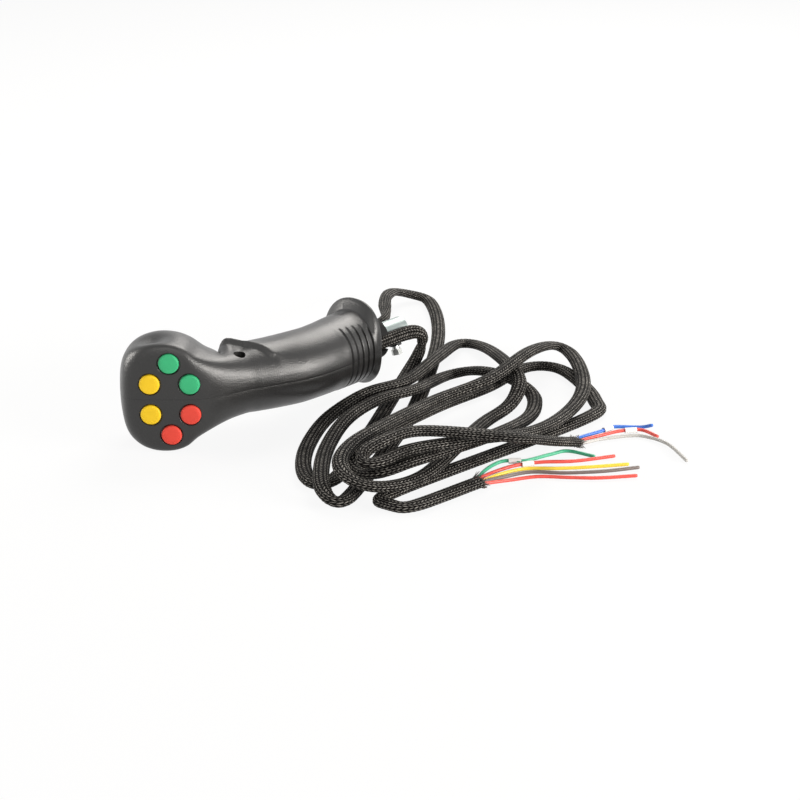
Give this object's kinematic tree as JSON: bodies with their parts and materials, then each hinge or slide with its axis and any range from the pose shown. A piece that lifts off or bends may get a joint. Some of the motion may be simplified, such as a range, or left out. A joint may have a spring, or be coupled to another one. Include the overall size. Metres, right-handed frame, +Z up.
{
  "type": "industrial joystick grip",
  "caption": "Moulded control lever grip with coloured push buttons on its face, a steel lever sleeve at its base, and braided leads with bare wire ends.",
  "frame": {"origin": "centre of the lever bore at the outer end of the steel sleeve", "axes": "+X out of the bore, away from the grip; +Z up as the grip lies on its side, normal to the plane where the shells part"},
  "size_m": [0.2794, 0.2742, 0.0564],
  "materials": {
    "grip_plastic": "fine-grained black moulded nylon, satin",
    "screw_steel": "zinc plated steel",
    "sleeve_steel": "zinc plated steel with a pale greenish sheen",
    "collar_rubber": "black rubber",
    "black_nut": "black oxide steel",
    "plate_laminate": "glass fibre laminate",
    "terminal_brass": "tinned brass pins",
    "green_cap": "moulded green plastic",
    "yellow_cap": "moulded yellow plastic",
    "red_cap": "moulded red plastic",
    "switch_body": "grey moulded switch body",
    "spring_wire": "music wire",
    "loom_jacket": "black cable jacket",
    "braided_sleeve": "woven black braid with brown-grey flecks",
    "blue_insulation": "blue wire insulation",
    "red_insulation": "red wire insulation",
    "white_insulation": "pale grey wire insulation",
    "green_insulation": "green wire insulation",
    "yellow_insulation": "yellow wire insulation",
    "brown_insulation": "brown-grey wire insulation",
    "marker_sleeve": "bare white marker sleeve"
  },
  "bodies": {
    "grip": {"upper_shell": "grip_plastic", "lower_shell": "grip_plastic", "shell_screws": "screw_steel", "base_collar": "collar_rubber", "lever_sleeve": "sleeve_steel", "clamp_screw": "screw_steel", "clamp_nut": "black_nut", "switch_plate": "plate_laminate", "plate_screws": "screw_steel", "terminals": "terminal_brass", "switch_green_1": "switch_body", "switch_green_2": "switch_body", "switch_yellow_1": "switch_body", "switch_yellow_2": "switch_body", "switch_red_1": "switch_body", "switch_red_2": "switch_body", "spring_green_1": "spring_wire", "spring_green_2": "spring_wire", "spring_yellow_1": "spring_wire", "spring_yellow_2": "spring_wire", "spring_red_1": "spring_wire", "spring_red_2": "spring_wire", "loom_1": "loom_jacket", "loom_2": "loom_jacket", "cable_1": "braided_sleeve", "cable_2": "braided_sleeve", "blue_wire": "blue_insulation", "red_wire": "red_insulation", "white_wire": "white_insulation", "green_wire": "green_insulation", "scarlet_wire": "red_insulation", "yellow_wire": "yellow_insulation", "brown_wire": "brown_insulation", "crimson_wire": "red_insulation", "wire_markers": "marker_sleeve"},
    "push_green_1": {"button_green_1": "green_cap"},
    "push_green_2": {"button_green_2": "green_cap"},
    "push_yellow_1": {"button_yellow_1": "yellow_cap"},
    "push_yellow_2": {"button_yellow_2": "yellow_cap"},
    "push_red_1": {"button_red_1": "red_cap"},
    "push_red_2": {"button_red_2": "red_cap"}
  },
  "joints": [
    {"name": "press_green_1", "type": "slide", "parent": "grip", "child": "push_green_1", "axis": [0.7547, 0.6561, 0], "range_m": [0, 0.0016], "stiffness_N_per_m": 900, "springref_m": -0.002, "deforming": ["spring_green_1"]},
    {"name": "press_green_2", "type": "slide", "parent": "grip", "child": "push_green_2", "axis": [0.7547, 0.6561, 0], "range_m": [0, 0.0016], "stiffness_N_per_m": 900, "springref_m": -0.002, "deforming": ["spring_green_2"]},
    {"name": "press_yellow_1", "type": "slide", "parent": "grip", "child": "push_yellow_1", "axis": [0.7547, 0.6561, 0], "range_m": [0, 0.0016], "stiffness_N_per_m": 900, "springref_m": -0.002, "deforming": ["spring_yellow_1"]},
    {"name": "press_yellow_2", "type": "slide", "parent": "grip", "child": "push_yellow_2", "axis": [0.7547, 0.6561, 0], "range_m": [0, 0.0016], "stiffness_N_per_m": 900, "springref_m": -0.002, "deforming": ["spring_yellow_2"]},
    {"name": "press_red_1", "type": "slide", "parent": "grip", "child": "push_red_1", "axis": [0.7547, 0.6561, 0], "range_m": [0, 0.0016], "stiffness_N_per_m": 900, "springref_m": -0.002, "deforming": ["spring_red_1"]},
    {"name": "press_red_2", "type": "slide", "parent": "grip", "child": "push_red_2", "axis": [0.7547, 0.6561, 0], "range_m": [0, 0.0016], "stiffness_N_per_m": 900, "springref_m": -0.002, "deforming": ["spring_red_2"]}
  ]
}
